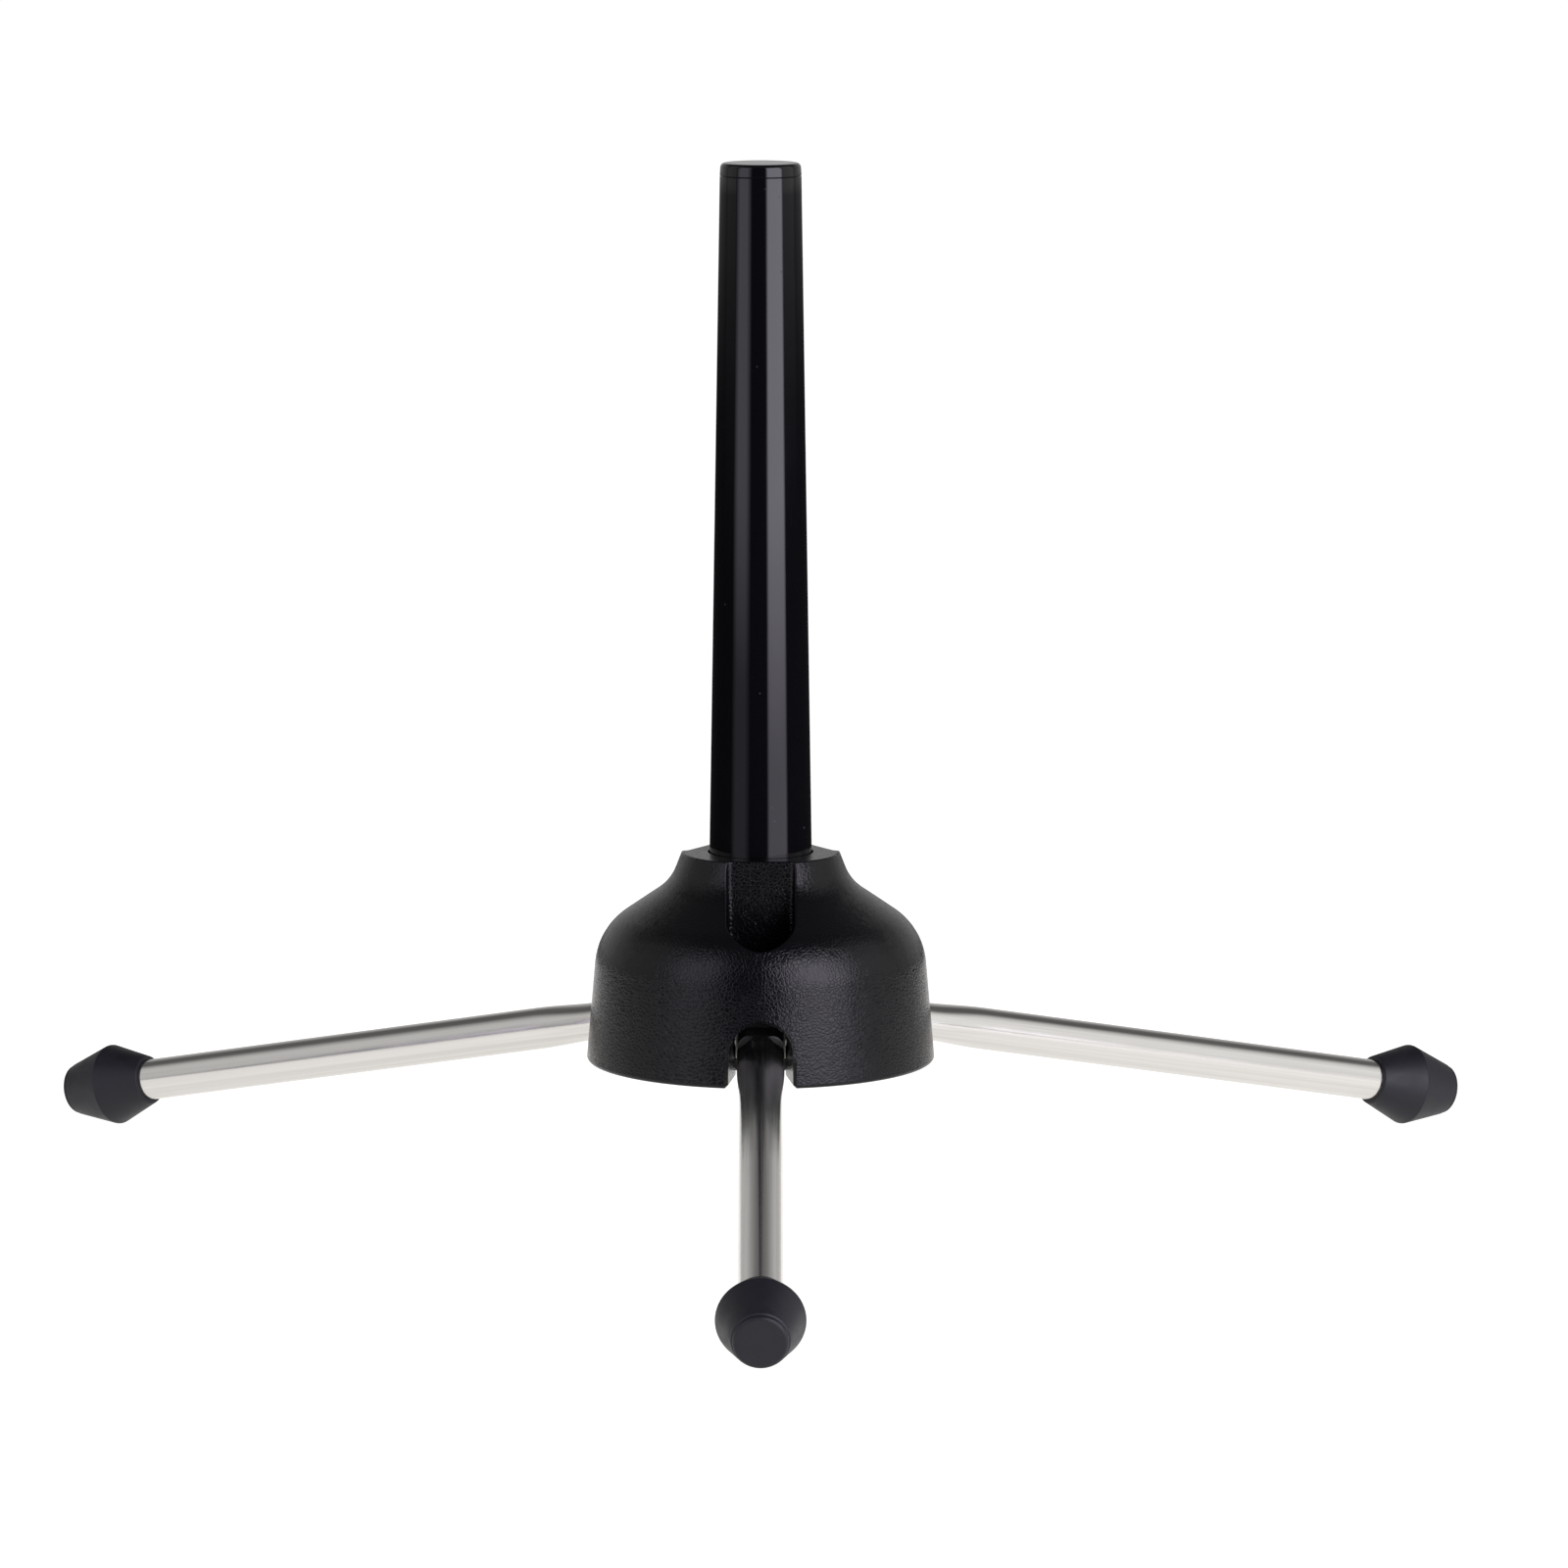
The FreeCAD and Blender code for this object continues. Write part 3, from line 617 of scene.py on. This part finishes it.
def turning_tree():
    """Turns an outline about X. Its first stretch can be pressed from round to oval.

    The outline is a mesh of points in order, each at (distance, radius). A grid has a row for each
    point and a column for each facet, and every vertex is put at its row's distance and radius.
    """
    tree = Tree("Turned piece", [
        ("Outline", "NodeSocketObject", None),
        ("Facets", "NodeSocketInt", 64),
        ("Round Radius", "NodeSocketFloat", 0.005),
        ("Oval Half Width", "NodeSocketFloat", 0.005),
        ("Oval Half Height", "NodeSocketFloat", 0.005),
        ("Oval End", "NodeSocketFloat", 0.0),
        ("Blend Length", "NodeSocketFloat", 0.01),
        ("Place", "NodeSocketVector", (0, 0, 0)),
        ("Turn", "NodeSocketRotation", None),
        ("Material", "NodeSocketMaterial", None),
    ])
    given = tree.given
    outline = tree.node("GeometryNodeObjectInfo", {"Object": given["Outline"]}).outputs["Geometry"]
    measured = tree.node("GeometryNodeAttributeDomainSize", {"Geometry": outline})
    columns = tree.maths("ADD", given["Facets"], 1.0)
    grid = tree.node("GeometryNodeMeshGrid", {
        "Size X": 1.0, "Size Y": 1.0, "Vertices X": measured.outputs["Point Count"],
        "Vertices Y": columns})
    index = tree.node("GeometryNodeInputIndex").outputs["Index"]
    row = tree.maths("FLOOR", tree.maths("DIVIDE", tree.maths("ADD", index, 0.5), columns))
    column = tree.maths("SUBTRACT", index, tree.maths("MULTIPLY", row, columns))
    turn = tree.maths("MULTIPLY", tree.maths("DIVIDE", column, given["Facets"]), 2 * math.pi)
    position = tree.node("GeometryNodeInputPosition").outputs["Position"]
    sample = tree.node("GeometryNodeSampleIndex", {"Geometry": outline, "Index": row},
                       data_type="FLOAT_VECTOR")
    tree.feed(sample.inputs["Value"], position)
    parts = tree.node("ShaderNodeSeparateXYZ", {"Vector": sample.outputs["Value"]}).outputs
    blend = tree.node("ShaderNodeMapRange", {
        "Value": tree.maths("SUBTRACT", parts["X"], given["Oval End"]),
        "From Min": 0.0, "From Max": given["Blend Length"], "To Min": 1.0, "To Max": 0.0,
    }, interpolation_type="SMOOTHSTEP").outputs["Result"]
    sideways = tree.maths("MULTIPLY_ADD", blend,
                          tree.maths("SUBTRACT", given["Oval Half Width"], given["Round Radius"]),
                          parts["Y"])
    upwards = tree.maths("MULTIPLY_ADD", blend,
                         tree.maths("SUBTRACT", given["Oval Half Height"], given["Round Radius"]),
                         parts["Y"])
    y = tree.maths("MULTIPLY", sideways, tree.maths("COSINE", turn))
    z = tree.maths("MULTIPLY", upwards, tree.maths("SINE", turn))
    moved = tree.node("GeometryNodeSetPosition", {
        "Geometry": grid.outputs["Mesh"], "Position": tree.vector(parts["X"], y, z)})
    closed = tree.node("GeometryNodeMergeByDistance", {
        "Geometry": moved.outputs["Geometry"], "Distance": 1e-6})
    smooth = tree.node("GeometryNodeSetShadeSmooth", {"Geometry": closed.outputs["Geometry"]})
    placed = tree.node("GeometryNodeTransform", {
        "Geometry": smooth.outputs["Geometry"], "Translation": given["Place"],
        "Rotation": given["Turn"]})
    return tree.finish(placed.outputs["Geometry"])


def grown(tree, values):
    """Plain mesh that a tree makes from its named inputs."""
    carrier = bpy.data.objects.new("carrier", bpy.data.meshes.new("carrier"))
    bpy.context.scene.collection.objects.link(carrier)
    modifier = carrier.modifiers.new("Grow", "NODES")
    modifier.node_group = tree
    for item in tree.interface.items_tree:
        if item.in_out == "INPUT" and item.name in values:
            modifier[item.identifier] = values[item.name]
    evaluated = carrier.evaluated_get(bpy.context.evaluated_depsgraph_get())
    mesh = bpy.data.meshes.new_from_object(evaluated)
    carrier.modifiers.remove(modifier)
    bpy.data.objects.remove(carrier)
    return mesh


def turned_mesh(outline, facets, matrix, material, sharp_degrees=40.0, **oval):
    """Mesh of an outline turned about the local X axis and put in place."""
    source = profile_object(outline)
    bpy.context.scene.collection.objects.link(source)
    place, rotation, _scale = matrix.decompose()
    values = {"Outline": source, "Facets": facets, "Place": tuple(place),
              "Turn": tuple(rotation.to_euler()), "Material": material}
    values.update(oval)
    mesh = grown(TREES["turned"], values)
    bpy.data.objects.remove(source)
    work = bmesh.new()
    work.from_mesh(mesh)
    bmesh.ops.dissolve_degenerate(work, edges=work.edges, dist=1e-7)
    bmesh.ops.recalc_face_normals(work, faces=work.faces)
    work.to_mesh(mesh)
    work.free()
    return soft_shaded(mesh, sharp_degrees)


TREES = {}
FINISHES = {}
UPRIGHT = Matrix.Rotation(-math.pi / 2, 4, "Y")       # local X points up


# Operators

class STAND_OT_finishes(bpy.types.Operator):
    """Make the finishes and the Geometry Nodes trees"""
    bl_idname = "stand.finishes"
    bl_label = "Finishes"

    def execute(self, context):
        colours = context.scene.stand_colours
        FINISHES["hub"] = grained_plastic("grained_black", tuple(colours.hub_black))
        FINISHES["peg"] = gloss_plastic("gloss_black", tuple(colours.peg_black))
        FINISHES["knuckle"] = smooth_plastic("moulded_black", tuple(colours.knuckle_black))
        FINISHES["zinc"] = plated_steel("zinc_plate", tuple(colours.zinc))
        FINISHES["rubber"] = foot_rubber("foot_rubber", tuple(colours.rubber))
        FINISHES["nylon"] = nylon("natural_nylon", tuple(colours.nylon))
        for side, place in LEGS.items():
            FINISHES["steel_" + side] = polished_steel("polished_steel_" + side,
                                                       tuple(colours.steel), place)
        TREES["turned"] = turning_tree()
        return {"FINISHED"}


class STAND_OT_hub(bpy.types.Operator):
    """Make the grained hub"""
    bl_idname = "stand.hub"
    bl_label = "Hub"

    def execute(self, context):
        piece = smooth_copy("hub", "hub_shell", FINISHES["hub"], "hub_plastic")
        normals = piece.modifiers.new("Even shading", "WEIGHTED_NORMAL")
        normals.keep_sharp = True
        normals.weight = 60
        return {"FINISHED"}


class STAND_OT_peg(bpy.types.Operator):
    """Make the peg's tube and its cap"""
    bl_idname = "stand.peg"
    bl_label = "Peg"

    def execute(self, context):
        sizes = context.scene.stand_sizes
        low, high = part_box("peg_tube")
        cap_low, cap_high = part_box("peg_cap")
        root = (high.x - low.x) / 2
        seam = high.z
        seam_points = [v.co for v in frame["nodes"]["peg_tube"].data.vertices if v.co.z > seam - MM]
        tip = max(math.hypot(point.x, point.y) for point in seam_points)
        bevel = sizes.seam_bevel
        wall = sizes.peg_wall
        outline = rounded_profile([
            (low.z, root - wall, 0), (low.z, root, sizes.peg_foot_round), (0.0, root, 0),
            (seam - bevel, tip, bevel * 0.4), (seam, tip - bevel, 0), (seam, tip - wall, 0),
            (0.0, root - wall, 0)])
        outline.append(outline[0])
        mesh = turned_mesh(divided(outline, PEG_STEP), sizes.peg_facets, UPRIGHT, FINISHES["peg"])
        keep(mesh, "peg_shaft", FINISHES["peg"], "root", "peg_gloss", "peg_tube")
        cap_outline = rounded_profile([
            (cap_low.z, 0.0, 0), (cap_low.z, tip - wall, sizes.spigot_round), (seam, tip - wall, 0),
            (seam, tip - bevel, 0), (seam + bevel, tip, bevel * 0.4),
            (cap_high.z, tip - sizes.cap_inset, sizes.cap_round), (cap_high.z, 0.0, 0)], steps=10)
        mesh = turned_mesh(divided(cap_outline, CAP_STEP), sizes.peg_facets, UPRIGHT,
                           FINISHES["peg"])
        keep(mesh, "peg_end_cap", FINISHES["peg"], "root", "peg_gloss", "peg_cap")
        return {"FINISHED"}


class STAND_OT_fixings(bpy.types.Operator):
    """Make the plug, the washer and the screw that hold the peg down"""
    bl_idname = "stand.fixings"
    bl_label = "Peg fixings"

    def execute(self, context):
        smooth_copy("peg_plug", "plug", FINISHES["knuckle"], "moulded_black")
        smooth_copy("peg_washer", "washer", FINISHES["zinc"], "plated_steel")
        smooth_copy("peg_screw", "screw", FINISHES["zinc"], "plated_steel")
        return {"FINISHED"}


class STAND_OT_tubes(bpy.types.Operator):
    """Make the three steel tubes, oval where they enter the hub"""
    bl_idname = "stand.tubes"
    bl_label = "Leg tubes"

    def execute(self, context):
        sizes = context.scene.stand_sizes
        for side, place in LEGS.items():
            points = place.local_points("leg_tube_" + side)
            start = min(point.x for point in points)
            end = max(point.x for point in points)
            mouth = [point for point in points if point.x < start + MM]
            radius = radius_near(points, end, MM)
            lip = sizes.lip_round
            outline = rounded_profile([
                (start, radius - sizes.tube_wall, lip), (start, radius, lip),
                (end, radius, lip), (end, radius - sizes.tube_wall, lip)], steps=4)
            outline.append(outline[0])
            material = FINISHES["steel_" + side]
            oval = {"Round Radius": radius,
                    "Oval Half Width": max(abs(point.y) for point in mouth),
                    "Oval Half Height": max(abs(point.z) for point in mouth),
                    "Oval End": start + sizes.oval_length, "Blend Length": sizes.oval_blend}
            mesh = turned_mesh(divided(outline, TUBE_STEP), sizes.tube_facets, place.matrix,
                               material, **oval)
            keep(mesh, "tube_" + side, material, place.body, "polished_tube", "leg_tube_" + side)
        return {"FINISHED"}


class STAND_OT_feet(bpy.types.Operator):
    """Make the three rubber feet"""
    bl_idname = "stand.feet"
    bl_label = "Feet"

    def execute(self, context):
        sizes = context.scene.stand_sizes
        for side, place in LEGS.items():
            points = place.local_points("leg_foot_" + side)
            start = min(point.x for point in points)
            end = max(point.x for point in points)
            widest = max(points, key=lambda point: math.hypot(point.y, point.z))
            collar = radius_near(points, start, MM)
            tip = radius_near(points, end - sizes.tip_band, TIP_SEARCH)
            tube = radius_near(place.local_points("leg_tube_" + side), end, TUBE_SEARCH)
            seat = max(point.x for point in place.local_points("leg_tube_" + side))
            ridge = math.hypot(widest.y, widest.z)
            band = end - sizes.tip_band
            outline = rounded_profile([
                (seat, 0.0, 0), (seat, tube, sizes.seat_round), (start, tube, sizes.mouth_round),
                (start, collar, sizes.collar_round),
                (widest.x, ridge + sizes.ridge_crown, sizes.ridge_round),
                (band, tip, sizes.ridge_round),
                (band + sizes.tip_step_length, tip - sizes.tip_step, sizes.step_round),
                (end, tip - sizes.tip_step, sizes.tip_round), (end, 0.0, 0)], steps=8)
            mesh = turned_mesh(divided(outline, FOOT_STEP), sizes.foot_facets, place.matrix,
                               FINISHES["rubber"], FOOT_CREASE)
            keep(mesh, "foot_" + side, FINISHES["rubber"], place.body, "foot_rubber",
                 "leg_foot_" + side)
        return {"FINISHED"}


class STAND_OT_pivots(bpy.types.Operator):
    """Make the knuckles, the spacers and the pins that the legs turn on"""
    bl_idname = "stand.pivots"
    bl_label = "Pivots"

    def execute(self, context):
        for side in SIDES:
            smooth_copy("leg_knuckle_" + side, "knuckle_" + side, FINISHES["knuckle"],
                        "moulded_black")
            # The spacers' nylon is darkened as painted shade for the slot they sit in.
            smooth_copy("leg_spacers_" + side, "spacers_" + side, FINISHES["nylon"], "white_nylon")
            smooth_copy("leg_pin_" + side, "pin_" + side, FINISHES["zinc"], "plated_steel")
        return {"FINISHED"}


class STAND_OT_stage(bpy.types.Operator):
    """Set up the floor, the lights and the camera"""
    bl_idname = "stand.stage"
    bl_label = "Stage"

    def execute(self, context):
        settings = context.scene.stand_stage
        floor_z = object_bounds()[0].z
        make_floor(settings, floor_z)
        make_world(context.scene)
        make_lights(floor_z)
        make_camera(context.scene, settings, floor_z)
        context.scene.view_settings.view_transform = "Standard"
        return {"FINISHED"}


# Stage

TABLE_FRONT = (-0.34, -0.24)       # the table's glow fades out over this run towards the camera
TABLE_FRONT_GLOW = 0.02
TABLE_TINT = (1.0, 0.985, 0.96, 1)
TABLE_GREY = (0.2, 0.2, 0.2, 1)
BACKDROP_GLOW = 0.52
LEFT_WALL_GLOW = 0.62
RIGHT_WALL_GLOW = 0.98
CEILING_GLOW = 0.10
DIM_GLOW = 0.02
DIM_SHARE = 0.1                    # what a wall keeps of its glow above its bright part
SURROUND_WHITE = 1.05
BOX_LOW = -0.11                    # a softbox's edges, from the table
BOX_HIGH = 1.12
BOX_DISTANCE = 0.95
BOX_TINT = (0.94, 0.90, 1.03, 1)
SOFTBOXES = {
    "left_box": {"azimuth": -48, "width": 0.84, "soft": 0.24, "strength": 2.0,
                 "fade": (0.026, 0.09, 0.30)},
    "right_box": {"azimuth": 39.5, "width": 0.90, "soft": 0.12, "strength": 5.8,
                  "fade": (-0.002, 0.09, 0.42)},
}


def make_floor(settings, floor_z):
    """Pale round table, which glows less towards the camera."""
    mesh = bpy.data.meshes.new("floor")
    work = bmesh.new()
    bmesh.ops.create_circle(work, cap_ends=True, segments=128, radius=settings.floor_radius)
    work.to_mesh(mesh)
    work.free()
    floor = bpy.data.objects.new("floor", mesh)
    floor.location.z = floor_z
    bpy.context.scene.collection.objects.link(floor)
    finish = Finish("pale_table", TABLE_GREY, 0.7)
    soft = finish.noise(9.0, 3.0)
    finish.set("Roughness", finish.between(soft, 0.3, 0.7, 0.62, 0.75))
    finish.set("Emission Color", TABLE_TINT)
    depth = finish.node("ShaderNodeSeparateXYZ", {"Vector": finish.place}).outputs["Y"]
    glow = finish.between(depth, *TABLE_FRONT, TABLE_FRONT_GLOW, settings.floor_glow)
    seen = finish.node("ShaderNodeLightPath").outputs["Is Camera Ray"]
    finish.set("Emission Strength", finish.between(seen, 0.0, 1.0, glow, settings.floor_white))
    mesh.materials.append(finish.material)
    floor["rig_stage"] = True


def make_world(scene):
    """Dim room with a pale backdrop behind the stand, and a white surround past the table."""
    world = bpy.data.worlds.new("studio")
    scene.world = world
    world.use_nodes = True
    tree = world.node_tree
    tree.nodes.clear()
    place = tree.nodes.new("ShaderNodeTexCoord").outputs["Generated"]
    parts = tree.nodes.new("ShaderNodeSeparateXYZ")
    tree.links.new(place, parts.inputs["Vector"])

    def eased(value, low, high, to_low, to_high):
        made = tree.nodes.new("ShaderNodeMapRange")
        made.interpolation_type = "SMOOTHSTEP"
        tree.links.new(value, made.inputs["Value"])
        made.inputs["From Min"].default_value = low
        made.inputs["From Max"].default_value = high
        made.inputs["To Min"].default_value = to_low
        made.inputs["To Max"].default_value = to_high
        return made.outputs["Result"]

    def maths(operation, first, second):
        made = tree.nodes.new("ShaderNodeMath")
        made.operation = operation
        tree.links.new(first, made.inputs[0])
        tree.links.new(second, made.inputs[1])
        return made.outputs["Value"]

    height = parts.outputs["Z"]
    across = parts.outputs["X"]
    depth = parts.outputs["Y"]
    behind = maths("MULTIPLY", eased(depth, 0.0, 0.5, 0.0, BACKDROP_GLOW),
                   eased(height, 0.28, 0.65, 1.0, DIM_SHARE))
    sides = maths("MAXIMUM", eased(across, -0.35, -0.75, 0.0, LEFT_WALL_GLOW),
                  eased(across, 0.35, 0.75, 0.0, RIGHT_WALL_GLOW))
    sides = maths("MULTIPLY", sides, eased(depth, 0.15, 0.5, 1.0, 0.0))
    sides = maths("MULTIPLY", sides, eased(height, 0.55, 0.92, 1.0, DIM_SHARE))
    walls = maths("MULTIPLY", maths("MAXIMUM", behind, sides),
                  eased(height, -0.09, -0.01, 0.0, 1.0))
    brightness = maths("ADD", walls, eased(height, 0.2, 1.0, DIM_GLOW, CEILING_GLOW))
    room = tree.nodes.new("ShaderNodeBackground")
    tree.links.new(brightness, room.inputs["Color"])
    surround = tree.nodes.new("ShaderNodeBackground")
    surround.inputs["Color"].default_value = (1, 1, 1, 1)
    surround.inputs["Strength"].default_value = SURROUND_WHITE
    seen = tree.nodes.new("ShaderNodeLightPath").outputs["Is Camera Ray"]
    mix = tree.nodes.new("ShaderNodeMixShader")
    tree.links.new(seen, mix.inputs["Fac"])
    tree.links.new(room.outputs["Background"], mix.inputs[1])
    tree.links.new(surround.outputs["Background"], mix.inputs[2])
    output = tree.nodes.new("ShaderNodeOutputWorld")
    tree.links.new(mix.outputs["Shader"], output.inputs["Surface"])


def softbox(name, floor_z, azimuth, width, soft, strength, fade):
    """Upright soft light facing the stand, dimmer at its sides and at its foot.

    Azimuth 0 is the camera's side, and it grows to the right. Soft is the run over which a side
    fades, and fade is two heights and the share of the light that is left under the lower one.
    """
    mesh = bpy.data.meshes.new(name)
    half = width / 2
    corners = [(-half, 0, BOX_LOW), (half, 0, BOX_LOW), (half, 0, BOX_HIGH), (-half, 0, BOX_HIGH)]
    mesh.from_pydata(corners, [], [(0, 1, 2, 3)])
    panel = bpy.data.objects.new(name, mesh)
    bpy.context.scene.collection.objects.link(panel)
    angle = math.radians(azimuth)
    panel.location = (BOX_DISTANCE * math.sin(angle), -BOX_DISTANCE * math.cos(angle), floor_z)
    panel.rotation_euler = (0, 0, angle)
    panel.visible_camera = False
    finish = Finish(name, (0, 0, 0, 1), 1.0)
    parts = finish.node("ShaderNodeSeparateXYZ", {"Vector": finish.place}).outputs
    inwards = finish.sum(half, finish.sum(parts["X"], 0.0, "ABSOLUTE"), "SUBTRACT")
    sideways = finish.between(inwards, 0.0, soft, 0.0, 1.0)
    upwards = finish.between(parts["Z"], *fade, 1.0)
    level = finish.sum(finish.sum(sideways, upwards, "MULTIPLY"), strength, "MULTIPLY")
    finish.set("Emission Color", BOX_TINT)
    finish.set("Emission Strength", level)
    finish.set("Specular IOR Level", 0.0)
    mesh.materials.append(finish.material)
    panel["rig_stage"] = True


def make_lights(floor_z):
    for name, light in SOFTBOXES.items():
        softbox(name, floor_z, **light)


def make_camera(scene, settings, floor_z):
    lens = bpy.data.cameras.new("camera")
    lens.lens = settings.camera_lens
    lens.sensor_width = SENSOR_WIDTH
    lens.shift_x = settings.camera_shift
    camera = bpy.data.objects.new("camera", lens)
    scene.collection.objects.link(camera)
    camera.location = (0, -settings.camera_distance, floor_z + settings.camera_height)
    level = Euler((math.pi / 2 - settings.camera_tilt, 0, 0)).to_matrix()
    roll = Matrix.Rotation(-settings.camera_roll, 3, "Z")
    camera.rotation_euler = (level @ roll).to_euler()
    scene.camera = camera


class STAND_PT_panel(bpy.types.Panel):
    """Sizes, colours and steps of the stand"""
    bl_idname = "STAND_PT_panel"
    bl_label = "Trumpet Stand"
    bl_space_type = "VIEW_3D"
    bl_region_type = "UI"
    bl_category = "Stand"

    def draw(self, context):
        for group in (context.scene.stand_sizes, context.scene.stand_colours,
                      context.scene.stand_stage):
            box = self.layout.box()
            for name in group.__annotations__:
                box.prop(group, name)
        for operator in STEPS:
            self.layout.operator(operator.bl_idname)


STEPS = (STAND_OT_finishes, STAND_OT_hub, STAND_OT_peg, STAND_OT_fixings, STAND_OT_tubes,
         STAND_OT_feet, STAND_OT_pivots, STAND_OT_stage)
CLASSES = (StandSizes, StandColours, StageSettings, *STEPS, STAND_PT_panel)


def register():
    for each in CLASSES:
        bpy.utils.register_class(each)
    bpy.types.Scene.stand_sizes = bpy.props.PointerProperty(type=StandSizes)
    bpy.types.Scene.stand_colours = bpy.props.PointerProperty(type=StandColours)
    bpy.types.Scene.stand_stage = bpy.props.PointerProperty(type=StageSettings)


def unregister():
    del bpy.types.Scene.stand_stage
    del bpy.types.Scene.stand_colours
    del bpy.types.Scene.stand_sizes
    for each in reversed(CLASSES):
        bpy.utils.unregister_class(each)


def main():
    register()
    bpy.ops.stand.finishes()
    bpy.ops.stand.hub()
    bpy.ops.stand.peg()
    bpy.ops.stand.fixings()
    bpy.ops.stand.tubes()
    bpy.ops.stand.feet()
    bpy.ops.stand.pivots()
    bpy.ops.stand.stage()


if __name__ == "__main__":
    main()
